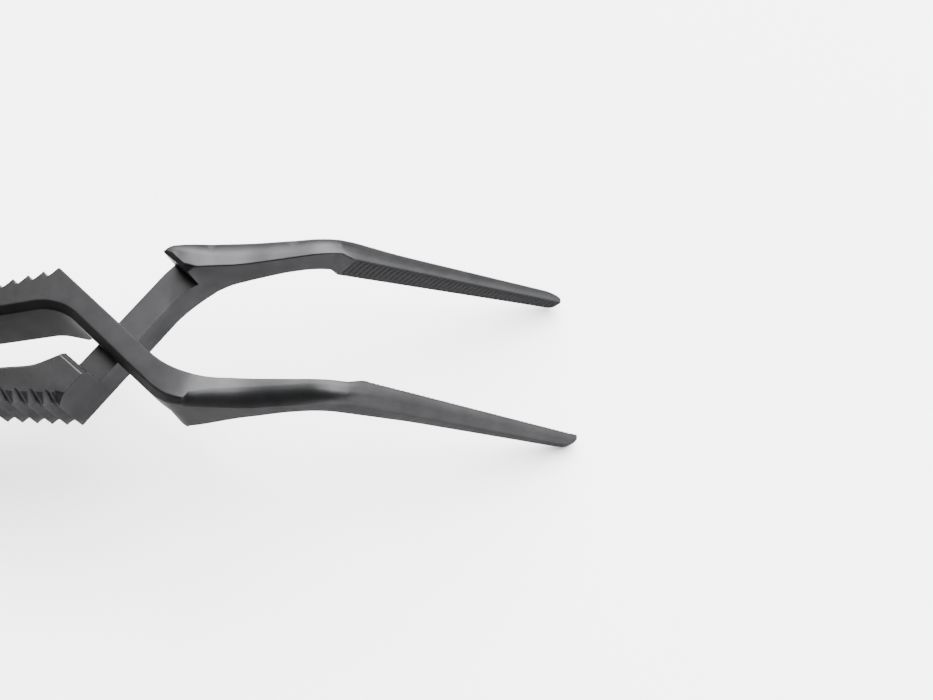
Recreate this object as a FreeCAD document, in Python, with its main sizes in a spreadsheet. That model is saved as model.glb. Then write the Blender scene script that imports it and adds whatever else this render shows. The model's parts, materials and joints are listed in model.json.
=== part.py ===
import FreeCAD, Part
import math
import os
import Sketcher

# Cross-action tweezers with angled jaws, lying on their side with the jaws pointing down.
# Design frame: X runs from the tail to the jaws, Y is the direction in which the jaws open,
# Z is across the width of the arms.  The front arm has its grip on +Y and its jaw on -Y; the
# rear arm is the other way round, and the two are half-lapped where they cross.
# At the end every piece is tilted, so that the tail and both jaw tips stand on z = 0.

DIMENSIONS = [
    # arms, across their width
    ("half_width", 3.3),
    ("lap_gap_half", 0.06),
    # tail, leaf springs and their rivets
    ("tail_x", -88.0),
    ("tail_front_x", -78.0),
    ("tail_corner_radius", 2.4),
    ("leaf_inner_y", 1.3),
    ("leaf_thickness", 0.6),
    ("leaf_half_width", 3.1),
    ("leaf_end_x", -26.3),
    ("rivet_radius", 0.7),
    ("rivet_head_radius", 1.25),
    ("rivet_head_height", 0.35),
    ("rivet_hole_radius", 0.71),
    ("rivets_in_row", 2),
    ("zero", 0.0),
    ("tail_rivet_x", -85.2),
    ("tail_rivet_pitch", 4.6),
    ("arm_rivet_x", -38.6),
    ("arm_rivet_pitch", 6.4),
    # plan outline of an arm
    ("tang_end_x", -42.5),
    ("tang_inner_y", 1.9),
    ("tang_outer_y", 3.0),
    ("tang_step_x", -26.0),
    ("grip_root_inner_y", 1.35),
    ("grip_root_outer_x", -25.6),
    ("heel_x", -0.09),
    ("heel_y", 6.7),
    ("leg_foot_x", 11.3),
    ("leg_foot_y", 5.27),
    ("neck_inner_x", 15.2),
    ("neck_inner_y", 5.47),
    ("jaw_face_x", 15.6),
    ("jaw_face_y", 5.04),
    ("jaw_tip_x", 44.5),
    ("jaw_tip_inner_y", 6.96),
    ("jaw_tip_outer_y", 7.75),
    ("jaw_waist_x", 29.0),
    ("jaw_waist_y", 7.75),
    ("jaw_back_x", 24.0),
    ("jaw_back_y", 7.95),
    ("shoulder_x", 9.7),
    ("shoulder_y", 7.5),
    ("boss_x", 0.73),
    ("boss_y", 1.9),
    ("throat_x", -2.4),
    ("throat_y", 2.68),
    ("grip_mid_x", -9.0),
    ("grip_mid_y", 2.4),
    ("leg_foot_radius", 9.4),
    ("shoulder_radius", 3.0),
    ("boss_radius", 0.6),
    ("throat_radius", 5.0),
    # side outline: the neck narrows, then the jaws turn away from the plane of the arms
    ("tail_side_x", -46.0),
    ("neck_start_x", 12.4),
    ("neck_mid_x", 17.0),
    ("neck_mid_z", 2.0),
    ("bend_near_x", 25.9),
    ("bend_near_z", 1.25),
    ("tip_near_x", 44.6),
    ("tip_near_z", 18.65),
    ("tip_end_x", 43.9),
    ("tip_end_z", 19.75),
    ("tip_far_x", 43.2),
    ("tip_far_z", 19.0),
    ("bend_far_x", 23.6),
    ("bend_far_z", 1.75),
    ("bend_radius", 6.0),
    ("neck_radius", 8.0),
    ("stock_half_y", 12.0),
    ("stock_half_z", 24.0),
    # half-lap at the crossing, in the leg's own direction
    ("leg_angle", 46.3),
    ("leg_middle", 3.3),
    ("lap_start", -0.87),
    ("lap_end", 11.9),
    ("lap_half_span", 9.0),
    # edge chamfers
    ("inner_chamfer", 0.65),
    ("outer_chamfer", 1.1),
    # finger grooves of the grips
    ("grip_angle", 8.27),
    ("groove_pitch", 1.5),
    ("groove_depth", 0.55),
    ("groove_radius", 0.79),
    ("groove_count", 17),
    # cross-cut teeth of the jaws
    ("jaw_drop_angle", 44.5),
    ("tooth_pitch", 0.54),
    ("tooth_half_gap", 0.13),
    ("tooth_depth", 0.14),
    ("tooth_span", 3.0),
    ("tooth_count", 46),
    ("tooth_start_x", 26.4),
    ("tooth_start_z", 1.75),
    # relief of the neck behind the jaw's gripping face, ending square to the dropped jaw
    ("relief_depth", 0.47),
    ("relief_start_x", 15.0),
    ("relief_half_z", 4.0),
    ("relief_low_x", 23.45),
    ("relief_high_x", 31.3),
    # opening motion
    ("pivot_x", -60.0),
    ("closing_angle", 3.8),
    ("face_clearance", 0.03),
    # how the whole tool stands
    ("rest_tilt", 7.3),
]

# tolerances for finding edges by where they lie, in millimetres, and the least volume of a cut
ON_PLANE = 0.01
NEAR_SPOT = 0.05
SHORTEST_EDGE = 0.2
PARALLEL = 0.999
LEAST_CUT = 1e-4

doc = FreeCAD.newDocument("cross_action_tweezers")
sheet = doc.addObject("Spreadsheet::Sheet", "dims")
SIZE = dict(DIMENSIONS)
for row, (alias, value) in enumerate(DIMENSIONS, start=1):
    sheet.set("A%d" % row, alias.replace("_", " "))
    sheet.set("B%d" % row, str(value))
    sheet.setAlias("B%d" % row, alias)
doc.recompute()


def value_of(term):
    """Number behind a term such as "heel_x" or "-heel_y"."""
    if term.startswith("-"):
        return -SIZE[term[1:]]
    return SIZE[term]


def formula_of(term):
    """The same term as a formula on the sheet."""
    if term.startswith("-"):
        return "-dims." + term[1:]
    return "dims." + term


def flip(term):
    """The term with its sign turned."""
    return term[1:] if term.startswith("-") else "-" + term


def new_body(label):
    body = doc.addObject("PartDesign::Body", label)
    body.Label = label
    return body


def new_sketch(body, name, role, offset=None):
    """Sketch on one of the body's own origin planes, moved by an optional placement."""
    plane = [item for item in body.Origin.OriginFeatures if item.Role == role][0]
    sketch = body.newObject("Sketcher::SketchObject", name)
    sketch.AttachmentSupport = (plane, "")
    sketch.MapMode = "FlatFace"
    if offset is not None:
        sketch.AttachmentOffset = offset
    return sketch


def polygon(sketch, corners):
    """Closed outline whose corners are held at pairs of sheet terms."""
    points = [FreeCAD.Vector(value_of(x), value_of(y), 0) for x, y in corners]
    count = len(points)
    first = sketch.GeometryCount
    for i in range(count):
        sketch.addGeometry(Part.LineSegment(points[i], points[(i + 1) % count]), False)
    for i in range(count):
        line = first + i
        following = first + (i + 1) % count
        sketch.addConstraint(Sketcher.Constraint("Coincident", line, 2, following, 1))
    for i, (x, y) in enumerate(corners):
        line = first + i
        across = sketch.addConstraint(Sketcher.Constraint("DistanceX", -1, 1, line, 1, value_of(x)))
        sketch.setExpression("Constraints[%d]" % across, formula_of(x))
        along = sketch.addConstraint(Sketcher.Constraint("DistanceY", -1, 1, line, 1, value_of(y)))
        sketch.setExpression("Constraints[%d]" % along, formula_of(y))


def circle(sketch, x, y, radius):
    """Circle held at sheet terms, or at the sketch's own origin where x and y are None."""
    centre = FreeCAD.Vector(0, 0, 0)
    if x is not None:
        centre = FreeCAD.Vector(value_of(x), value_of(y), 0)
    ring = sketch.addGeometry(Part.Circle(centre, FreeCAD.Vector(0, 0, 1), SIZE[radius]), False)
    size = sketch.addConstraint(Sketcher.Constraint("Radius", ring, SIZE[radius]))
    sketch.setExpression("Constraints[%d]" % size, formula_of(radius))
    if x is None:
        sketch.addConstraint(Sketcher.Constraint("Coincident", ring, 3, -1, 1))
        return
    across = sketch.addConstraint(Sketcher.Constraint("DistanceX", -1, 1, ring, 3, value_of(x)))
    sketch.setExpression("Constraints[%d]" % across, formula_of(x))
    along = sketch.addConstraint(Sketcher.Constraint("DistanceY", -1, 1, ring, 3, value_of(y)))
    sketch.setExpression("Constraints[%d]" % along, formula_of(y))


def pad(body, sketch, formula):
    """Pad by the same distance to both sides of the sketch."""
    feature = body.newObject("PartDesign::Pad", sketch.Name + "_pad")
    feature.Profile = sketch
    feature.SideType = "Symmetric"
    feature.setExpression("Length", formula)
    doc.recompute()
    return feature


def pocket(body, sketch, side="Symmetric", towards_plus=False, formula="2 * dims.stock_half_z"):
    """Cut by a distance; a one-sided cut goes to the plus or minus side of the sketch."""
    before = body.Shape.Volume
    feature = body.newObject("PartDesign::Pocket", sketch.Name + "_cut")
    feature.Profile = sketch
    feature.SideType = side
    feature.Reversed = towards_plus
    feature.setExpression("Length", formula)
    doc.recompute()
    if body.Shape.Volume >= before - LEAST_CUT:
        raise RuntimeError(sketch.Name + " cuts nothing")
    return feature


def repeat(body, feature, sketch, count, pitch, backwards=False):
    """Row of a feature along the horizontal axis of its sketch."""
    pattern = body.newObject("PartDesign::LinearPattern", feature.Name + "_row")
    pattern.Originals = [feature]
    pattern.Direction = (sketch, ["H_Axis"])
    pattern.Mode = "Spacing"
    pattern.Reversed = backwards
    pattern.setExpression("Offset", "dims." + pitch)
    pattern.setExpression("Occurrences", "dims." + count)
    body.Tip = pattern
    doc.recompute()
    return pattern


def round_edges(body, base, spots, radius, axis):
    """Fillet the edges that run along an axis through the given spots."""
    names = []
    for number, edge in enumerate(base.Shape.Edges, start=1):
        start = edge.Vertexes[0].Point
        end = edge.Vertexes[-1].Point
        if (end - start).Length < SHORTEST_EDGE:
            continue
        if abs((end - start).normalize().dot(axis)) < PARALLEL:
            continue
        for spot in spots:
            gap = spot - start
            if (gap - axis * gap.dot(axis)).Length < NEAR_SPOT:
                names.append("Edge%d" % number)
    if len(names) != len(spots):
        raise RuntimeError("%s: %d edges for %d fillets" % (body.Label, len(names), len(spots)))
    feature = body.newObject("PartDesign::Fillet", body.Name + "_" + radius)
    feature.Base = (base, names)
    feature.setExpression("Radius", "dims." + radius)
    doc.recompute()
    return feature


def bevel_edges(body, base, chooser, size):
    """Chamfer every edge whose ends and middle pass the chooser."""
    names = []
    for number, edge in enumerate(base.Shape.Edges, start=1):
        middle = edge.valueAt((edge.FirstParameter + edge.LastParameter) / 2)
        ends = [vertex.Point for vertex in edge.Vertexes]
        if all(chooser(point) for point in ends + [middle]):
            names.append("Edge%d" % number)
    feature = body.newObject("PartDesign::Chamfer", body.Name + "_" + size)
    feature.Base = (base, names)
    feature.setExpression("Size", "dims." + size)
    doc.recompute()
    return feature


# ---------------------------------------------------------------- the two arms

def arm_plan(label, turn):
    """Prism with the arm's plan outline.  turn is "" for the front arm, "-" for the rear arm."""
    def up(term):
        return term if turn == "" else flip(term)

    body = new_body(label + "_plan")
    sketch = new_sketch(body, label + "_plan_outline", "XY_Plane")
    polygon(sketch, [
        ("tang_end_x", up("tang_outer_y")),
        ("grip_root_outer_x", up("tang_outer_y")),
        ("heel_x", up("heel_y")),
        ("leg_foot_x", up("-leg_foot_y")),
        ("neck_inner_x", up("-neck_inner_y")),
        ("jaw_face_x", up("-jaw_face_y")),
        ("jaw_tip_x", up("-jaw_tip_inner_y")),
        ("jaw_tip_x", up("-jaw_tip_outer_y")),
        ("jaw_waist_x", up("-jaw_waist_y")),
        ("jaw_back_x", up("-jaw_back_y")),
        ("shoulder_x", up("-shoulder_y")),
        ("boss_x", up("boss_y")),
        ("throat_x", up("throat_y")),
        ("grip_mid_x", up("grip_mid_y")),
        ("tang_step_x", up("grip_root_inner_y")),
        ("tang_step_x", up("tang_inner_y")),
        ("tang_end_x", up("tang_inner_y")),
    ])
    base = pad(body, sketch, "2 * dims.stock_half_z")
    upright = FreeCAD.Vector(0, 0, 1)
    for corner_x, corner_y, radius in [
        ("leg_foot_x", "-leg_foot_y", "leg_foot_radius"),
        ("shoulder_x", "-shoulder_y", "shoulder_radius"),
        ("boss_x", "boss_y", "boss_radius"),
        ("throat_x", "throat_y", "throat_radius"),
    ]:
        spot = FreeCAD.Vector(value_of(corner_x), value_of(up(corner_y)), 0)
        base = round_edges(body, base, [spot], radius, upright)
    return body


def arm(label, turn):
    """One arm: side profile, plan outline, chamfers, half-lap, grip grooves and jaw teeth."""
    rear = turn == "-"
    plan = arm_plan(label, turn)
    body = new_body(label)
    side = new_sketch(body, label + "_side", "XZ_Plane")
    polygon(side, [
        ("tail_side_x", "half_width"),
        ("neck_start_x", "half_width"),
        ("neck_mid_x", "neck_mid_z"),
        ("bend_near_x", "bend_near_z"),
        ("tip_near_x", "-tip_near_z"),
        ("tip_end_x", "-tip_end_z"),
        ("tip_far_x", "-tip_far_z"),
        ("bend_far_x", "-bend_far_z"),
        ("neck_mid_x", "-neck_mid_z"),
        ("neck_start_x", "-half_width"),
        ("tail_side_x", "-half_width"),
    ])
    base = pad(body, side, "2 * dims.stock_half_y")
    cross = FreeCAD.Vector(0, 1, 0)
    bend_near = FreeCAD.Vector(SIZE["bend_near_x"], 0, SIZE["bend_near_z"])
    bend_far = FreeCAD.Vector(SIZE["bend_far_x"], 0, -SIZE["bend_far_z"])
    base = round_edges(body, base, [bend_near, bend_far], "bend_radius", cross)
    necks = [FreeCAD.Vector(SIZE["neck_mid_x"], 0, z) for z in (SIZE["neck_mid_z"], -SIZE["neck_mid_z"])]
    base = round_edges(body, base, necks, "neck_radius", cross)
    common = body.newObject("PartDesign::Boolean", label + "_blank")
    common.setObjects([plan])
    common.Type = "Common"
    doc.recompute()

    # chamfers: the inner edge on the arm's full side, the tooth line's edge on its lapped side
    full_z = -SIZE["half_width"] if rear else SIZE["half_width"]
    sign = -1 if rear else 1
    slope = math.radians(SIZE["leg_angle"])

    def on_inner_edge(point):
        """Whether a point is on the edge of the full side that runs along the inside of the arm."""
        y = sign * point.y
        if abs(point.z - full_z) > ON_PLANE:
            return False
        if point.x < SIZE["heel_x"]:
            return point.x > SIZE["tang_step_x"] + NEAR_SPOT and y < SIZE["throat_y"] + NEAR_SPOT
        across_leg = point.x * math.sin(slope) + y * math.cos(slope)
        return across_leg < SIZE["leg_middle"] and point.x < SIZE["neck_start_x"] + NEAR_SPOT

    def on_tooth_line(point):
        """Whether a point is on the edge of the lapped side that the finger grooves cross."""
        y = sign * point.y
        rise = (SIZE["heel_y"] - SIZE["tang_outer_y"]) / (SIZE["heel_x"] - SIZE["grip_root_outer_x"])
        line = SIZE["heel_y"] + (point.x - SIZE["heel_x"]) * rise
        if abs(point.z + full_z) > ON_PLANE or abs(y - line) > ON_PLANE:
            return False
        return y > SIZE["tang_outer_y"] - NEAR_SPOT

    base = bevel_edges(body, common, on_inner_edge, "inner_chamfer")
    bevel_edges(body, base, on_tooth_line, "outer_chamfer")

    # half-lap: half of the width is cut away between the two shoulders of the crossing
    lap_turn = FreeCAD.Rotation(FreeCAD.Vector(0, 0, 1), sign * -SIZE["leg_angle"])
    lap_level = FreeCAD.Vector(0, 0, -SIZE["lap_gap_half"] if rear else SIZE["lap_gap_half"])
    lap = new_sketch(body, label + "_lap", "XY_Plane", FreeCAD.Placement(lap_level, lap_turn))
    polygon(lap, [
        ("lap_start", "-lap_half_span"),
        ("lap_end", "-lap_half_span"),
        ("lap_end", "lap_half_span"),
        ("lap_start", "lap_half_span"),
    ])
    pocket(body, lap, side="One side", towards_plus=rear)

    # finger grooves across the grip, from the heel back towards the tang
    grip_turn = FreeCAD.Rotation(FreeCAD.Vector(0, 0, 1), sign * SIZE["grip_angle"])
    half_pitch = SIZE["groove_pitch"] / 2
    lift = SIZE["groove_radius"] - SIZE["groove_depth"]
    first = FreeCAD.Vector(-half_pitch, sign * lift, 0)
    heel = FreeCAD.Vector(SIZE["heel_x"], sign * SIZE["heel_y"], 0)
    groove_spot = FreeCAD.Placement(heel + grip_turn.multVec(first), grip_turn)
    groove = new_sketch(body, label + "_groove", "XY_Plane", groove_spot)
    circle(groove, None, None, "groove_radius")
    cut = pocket(body, groove)
    repeat(body, cut, groove, "groove_count", "groove_pitch", backwards=True)

    # the neck is relieved behind the plane in which the jaws meet
    upright = FreeCAD.Rotation(FreeCAD.Vector(1, 0, 0), 90)
    swing = FreeCAD.Rotation(FreeCAD.Vector(0, 0, 1), sign * -SIZE["closing_angle"])
    stretch = 1 / math.cos(math.radians(SIZE["closing_angle"]))
    pivot = FreeCAD.Vector(SIZE["pivot_x"], 0, 0)

    def on_jaw_face(x, z, turn_down):
        """Placement, on the XZ plane, of a sketch in the jaw face at a station x and height z."""
        spot = pivot + swing.multVec(FreeCAD.Vector((x - pivot.x) * stretch, 0, z))
        turned = swing * FreeCAD.Rotation(FreeCAD.Vector(0, 1, 0), turn_down)
        local = upright.inverted()
        return FreeCAD.Placement(local.multVec(spot), local * turned * upright)

    relief = new_sketch(body, label + "_relief", "XZ_Plane", on_jaw_face(0, 0, 0))
    polygon(relief, [
        ("relief_start_x", "-relief_half_z"),
        ("relief_low_x", "-relief_half_z"),
        ("relief_high_x", "relief_half_z"),
        ("relief_start_x", "relief_half_z"),
    ])
    pocket(body, relief, formula="2 * dims.relief_depth")

    # jaw teeth: slots square to the dropped jaw
    first_tooth = on_jaw_face(SIZE["tooth_start_x"], -SIZE["tooth_start_z"], SIZE["jaw_drop_angle"])
    tooth = new_sketch(body, label + "_tooth", "XZ_Plane", first_tooth)
    polygon(tooth, [
        ("-tooth_half_gap", "-tooth_span"),
        ("tooth_half_gap", "-tooth_span"),
        ("tooth_half_gap", "tooth_span"),
        ("-tooth_half_gap", "tooth_span"),
    ])
    notch = pocket(body, tooth, formula="2 * (dims.face_clearance + dims.tooth_depth)")
    repeat(body, notch, tooth, "tooth_count", "tooth_pitch")

    # rivet holes through the tang
    hole = new_sketch(body, label + "_hole", "XZ_Plane")
    circle(hole, "arm_rivet_x", "zero", "rivet_hole_radius")
    cut = pocket(body, hole)
    repeat(body, cut, hole, "rivets_in_row", "arm_rivet_pitch")
    return body


# ---------------------------------------------------------------- springs, tail and rivets

def leaf(label, turn):
    """Spring strip from the tail to the tang, flat against the inside of the arm."""
    sign = -1 if turn == "-" else 1
    body = new_body(label)
    level = FreeCAD.Vector(0, 0, -sign * (SIZE["leaf_inner_y"] + SIZE["leaf_thickness"] / 2))
    flat = new_sketch(body, label + "_outline", "XZ_Plane", FreeCAD.Placement(level, FreeCAD.Rotation()))
    polygon(flat, [
        ("tail_x", "-leaf_half_width"),
        ("leaf_end_x", "-leaf_half_width"),
        ("leaf_end_x", "leaf_half_width"),
        ("tail_x", "leaf_half_width"),
    ])
    base = pad(body, flat, "dims.leaf_thickness")
    half_width = SIZE["leaf_half_width"]
    corners = [FreeCAD.Vector(SIZE["tail_x"], 0, z) for z in (-half_width, half_width)]
    round_edges(body, base, corners, "tail_corner_radius", FreeCAD.Vector(0, 1, 0))
    for end, start in (("tail", "tail_rivet_x"), ("arm", "arm_rivet_x")):
        hole = new_sketch(body, label + "_" + end + "_hole", "XZ_Plane")
        circle(hole, start, "zero", "rivet_hole_radius")
        cut = pocket(body, hole)
        repeat(body, cut, hole, "rivets_in_row", end + "_rivet_pitch")
    return body


def tail_block(label):
    """Spacer that holds the roots of the two springs apart."""
    body = new_body(label)
    side = new_sketch(body, label + "_outline", "XZ_Plane")
    polygon(side, [
        ("tail_x", "-half_width"),
        ("tail_front_x", "-half_width"),
        ("tail_front_x", "half_width"),
        ("tail_x", "half_width"),
    ])
    base = pad(body, side, "2 * dims.leaf_inner_y")
    half_width = SIZE["half_width"]
    corners = [FreeCAD.Vector(SIZE["tail_x"], 0, z) for z in (-half_width, half_width)]
    round_edges(body, base, corners, "tail_corner_radius", FreeCAD.Vector(0, 1, 0))
    hole = new_sketch(body, label + "_hole", "XZ_Plane")
    circle(hole, "tail_rivet_x", "zero", "rivet_hole_radius")
    cut = pocket(body, hole)
    repeat(body, cut, hole, "rivets_in_row", "tail_rivet_pitch")
    return body


def rivets(label, first_x, pitch, low, high):
    """Row of rivets along Y from low to high, each a shank with two low set heads."""
    bits = []
    for number in range(int(SIZE["rivets_in_row"])):
        along = "dims.%s + %d * dims.%s" % (first_x, number, pitch)
        shank = doc.addObject("Part::Cylinder", "%s_shank_%d" % (label, number))
        shank.setExpression("Radius", "dims.rivet_radius")
        shank.setExpression("Height", "(%s) - (%s)" % (high, low))
        shank.Placement.Rotation = FreeCAD.Rotation(FreeCAD.Vector(1, 0, 0), -90)
        shank.setExpression("Placement.Base.x", along)
        shank.setExpression("Placement.Base.y", low)
        bits.append(shank)
        for side, level, angle in (("high", high, -90), ("low", low, 90)):
            head = doc.addObject("Part::Cone", "%s_%s_head_%d" % (label, side, number))
            head.setExpression("Radius1", "dims.rivet_head_radius")
            head.setExpression("Radius2", "dims.rivet_radius")
            head.setExpression("Height", "dims.rivet_head_height")
            head.Placement.Rotation = FreeCAD.Rotation(FreeCAD.Vector(1, 0, 0), angle)
            head.setExpression("Placement.Base.x", along)
            head.setExpression("Placement.Base.y", level)
            bits.append(head)
    group = doc.addObject("Part::MultiFuse", label)
    group.Label = label
    group.Shapes = bits
    doc.recompute()
    return group


outer = "dims.leaf_inner_y + dims.leaf_thickness"
PIECES = [
    arm("front_arm", ""),
    arm("rear_arm", "-"),
    leaf("front_leaf_spring", ""),
    leaf("rear_leaf_spring", "-"),
    tail_block("tail_block"),
    rivets("tail_rivets", "tail_rivet_x", "tail_rivet_pitch", "-(%s)" % outer, outer),
    rivets("front_arm_rivets", "arm_rivet_x", "arm_rivet_pitch", "dims.leaf_inner_y", "dims.tang_outer_y"),
    rivets("rear_arm_rivets", "arm_rivet_x", "arm_rivet_pitch", "-dims.tang_outer_y", "-dims.leaf_inner_y"),
]

# ---------------------------------------------------------------- stand the tool up and write it

tilt = FreeCAD.Rotation(FreeCAD.Vector(0, 1, 0), -SIZE["rest_tilt"])
for piece in PIECES:
    own = piece.Placement
    piece.Placement = FreeCAD.Placement(FreeCAD.Vector(), tilt).multiply(own)
doc.recompute()
whole = Part.Compound([piece.Shape for piece in PIECES]).BoundBox
shift = FreeCAD.Vector(-whole.Center.x, -whole.Center.y, -whole.ZMin)
for piece in PIECES:
    own = piece.Placement
    piece.Placement = FreeCAD.Placement(shift, FreeCAD.Rotation()).multiply(own)
doc.recompute()
print("seat shift", tuple(round(part, 4) for part in shift))

for item in doc.Objects:
    if "Invalid" in item.State or "Error" in item.State:
        raise RuntimeError(item.Name + " failed: " + str(item.State))
for piece in PIECES:
    if piece.Shape.isNull() or not piece.Shape.isValid():
        raise RuntimeError(piece.Label + " has no valid shape")

os.makedirs("parts", exist_ok=True)
for piece in PIECES:
    piece.Shape.exportStep("parts/%s.step" % piece.Label)
    print(piece.Label, len(piece.Shape.Solids), round(piece.Shape.Volume, 2), piece.Shape.BoundBox)
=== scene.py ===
import json
import math

import bmesh
import bpy
import numpy as np
from mathutils import Matrix, Vector


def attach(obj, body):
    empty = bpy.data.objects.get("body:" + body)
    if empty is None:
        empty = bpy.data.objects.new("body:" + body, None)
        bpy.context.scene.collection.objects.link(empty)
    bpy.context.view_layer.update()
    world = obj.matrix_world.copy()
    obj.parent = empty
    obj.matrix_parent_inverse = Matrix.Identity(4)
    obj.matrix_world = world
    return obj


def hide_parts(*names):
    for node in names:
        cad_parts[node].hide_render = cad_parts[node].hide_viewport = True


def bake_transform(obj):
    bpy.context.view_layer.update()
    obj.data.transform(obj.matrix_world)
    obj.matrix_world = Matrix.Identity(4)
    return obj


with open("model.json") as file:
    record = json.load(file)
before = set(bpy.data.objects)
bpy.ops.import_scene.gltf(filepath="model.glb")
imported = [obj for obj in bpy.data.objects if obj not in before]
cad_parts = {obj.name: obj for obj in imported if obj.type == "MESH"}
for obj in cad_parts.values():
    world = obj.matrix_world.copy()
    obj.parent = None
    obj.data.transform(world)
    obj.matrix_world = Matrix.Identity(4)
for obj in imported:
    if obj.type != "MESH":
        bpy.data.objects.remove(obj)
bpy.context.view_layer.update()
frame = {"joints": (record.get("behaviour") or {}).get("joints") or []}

# Cross-action tweezers with angled jaws.  Shapes are worked out in the design frame, in
# millimetres: X from the tail to the jaws, with 0 close to the heels of the grips, Y the
# direction in which the jaws open, Z across the width of the arms, with "near" the +Z side.
# seat() carries them to the frame, in metres.
# An arm is drawn as the front arm, with its grip on +Y and its jaw on -Y; the rear arm is
# the mirror image, half-lapped on its near side instead of its far side.  Where the two arms
# differ in size, a table gives the front arm's value under "far" and the rear arm's under "near".

MM = 0.001

# ---------------------------------------------------------------- sizes, in millimetres

HALF_WIDTH = 3.3
PIVOT_X = -60.0

# tail, leaf springs and rivets
TAIL_X = -88.0
TAIL_FRONT_X = -78.0
TAIL_CORNER = 2.4
BLOCK_BEVEL = 0.3
LEAF_END_X = -26.3
LEAF_INNER_Y = 1.3
LEAF_OUTER_Y = 1.9
LEAF_HALF_WIDTH = 3.1
LEAF_BEVEL = 0.14
TANG_OUTER_Y = 3.0
TAIL_RIVET_X = -85.2
TAIL_RIVET_PITCH = 4.6
ARM_RIVET_X = -38.6
ARM_RIVET_PITCH = 6.4
RIVET_RADIUS = 0.7
RIVET_HEAD_RADIUS = 1.22
RIVET_HEAD_HEIGHT = 0.34
RIVET_SIDES = 40

# half-lap and grip
LEG_ANGLE = math.radians(46.3)
LAP_LEVEL = 0.06
LAP_START = -0.87
LAP_END = 11.9
LAP_CHAMFER = 0.45
LAP_RING_GAP = 0.11
LAP_REACH = 9.0
TANG_STEP_X = -26.0
HEELS = {"far": (-0.35, 6.75), "near": (-0.09, 6.7)}
GRIP_ANGLE = math.radians(8.27)
GROOVE_PITCH = 1.5
GROOVE_COUNT = 17
GROOVE_VALLEY = {"far": 0.28, "near": 0.5}
GROOVE_DEPTH = {"far": 0.6, "near": 0.55}
GROOVE_POWER = 1.35
GROOVE_FADE = 0.35
GROOVE_WALL = 0.414
GRIP_CHAMFER = 1.1
HEEL_RUN_OUT = 1.6
EDGE_CHAMFER = 0.65

# neck and jaw
NECK_X = 15.0
SEAM_X = 11.6
SEAM_BLUR = 0.05
REAR_TURN = (9.0, 9.3)
RELIEF_END_X = 25.9
TIP_X = {"far": 44.8, "near": 44.2}
TIP_LEAN = 1.12
TOOTH_PITCH = 0.54
TOOTH_DEPTH = 0.13
TOOTH_PROFILE = (0.0, 0.5, 1.0, 0.5)
NEAR_NOTCH = 0.55
FAR_NOTCH = 0.15
HEEL_SHIFT = {"far": 0.8, "near": -0.2}
RAMP_LENGTH = {"far": 1.9, "near": 1.3}
JAW_DROP = math.radians(44.5)
JAW_HEEL_X = (27.17, 24.83)
JAW_HEEL_RUN = 12.1
TOOTHLESS_TIP = 0.6
TIP_RINGS = (0.52, 0.42, 0.33, 0.25, 0.18, 0.12, 0.07, 0.035, 0.01, 0.0)
FRESH_TEETH = 0.5
FRESH_RUN = 3

# neck sections: distance along the neck, station of the near side, station of the far side
NECK_SECTIONS = [(0.0, NECK_X, NECK_X), (6.0, 21.0, 20.7), (9.3, 24.6, 23.2)]

# rounding of the tip: the length over which it acts and the least share of the size it leaves
NEAR_BACK_TIP = (2.0, 0.45)
FAR_BACK_TIP = (1.3, 0.5)
NARROW_TIP = (0.7, 0.6)
FLARE_START = 11.7
FLARE_END = 13.0

# plan outlines of an arm: x, y and corner radius
TANG_TOP = [(-42.5, TANG_OUTER_Y, 0), (-25.6, TANG_OUTER_Y, 0)]
HEEL_RADIUS = 0.35
FOOT = (11.3, -5.27)
FULL_FOOT_RADIUS = 9.4
LAPPED_FOOT_RADIUS = 3.5
NECK_LINE = [(16.0, -5.44, 20), (26.0, -6.2, 0)]
TANG_LINE = [(-42.5, 1.9, 0), (-26.0, 1.9, 0), (-26.0, 1.35, 0)]
JAW_LINE = [(17.0, -8.12, 30), (24.0, -8.12, 25), (30.0, -7.96, 40), (46.0, -8.2, 0)]
FULL_BACK_SIDE = TANG_LINE + [(-9.0, 2.65, 30), (-0.45, 3.15, 5), (10.05, -7.85, 6.5)] + JAW_LINE
LAPPED_BACK_SIDE = TANG_LINE + [
    (-9.0, 2.4, 30), (-2.4, 2.66, 5), (0.6, 1.72, 0.3), (10.05, -7.85, 1.3),
] + JAW_LINE
JAW_FACE_X = 15.6
JAW_FACE_Y = 5.04
JAW_FACE_SLOPE = 0.0664

# side outlines of the neck and jaw: x, z and corner radius
NEAR_SIDE = [(-50, 3.3, 0), (12.0, 3.3, 9), (17.2, 1.95, 14), (25.6, 1.2, 6.5), (44.7, -18.75, 0)]
FAR_SIDE = [(-50, -3.3, 0), (10.8, -3.3, 9), (15.8, -1.75, 12), (20.0, -1.35, 9), (23.3, -1.7, 5),
            (44.2, -20.48, 0)]


# ---------------------------------------------------------------- from the design to the frame

joint = next(item for item in frame["joints"] if item["name"] == "front_flex")
ACROSS = Vector(joint["axis"]).normalized()
SIDEWAYS = Vector((0, 1, 0))
ALONG = SIDEWAYS.cross(ACROSS)
PIVOT = Vector((joint["pos_m"][0], 0, joint["pos_m"][2]))


def turn(direction):
    """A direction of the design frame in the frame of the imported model."""
    return ALONG * direction[0] + SIDEWAYS * direction[1] + ACROSS * direction[2]


def seat(point):
    """A design point, in millimetres, as a place in the frame, in metres."""
    return PIVOT + turn((point[0] - PIVOT_X, point[1], point[2])) * MM


SEAT = Matrix((ALONG * MM, SIDEWAYS * MM, ACROSS * MM)).transposed().to_4x4()
SEAT.translation = seat((0, 0, 0))


# ---------------------------------------------------------------- outlines

NEARLY_STRAIGHT = 1e-4


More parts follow.
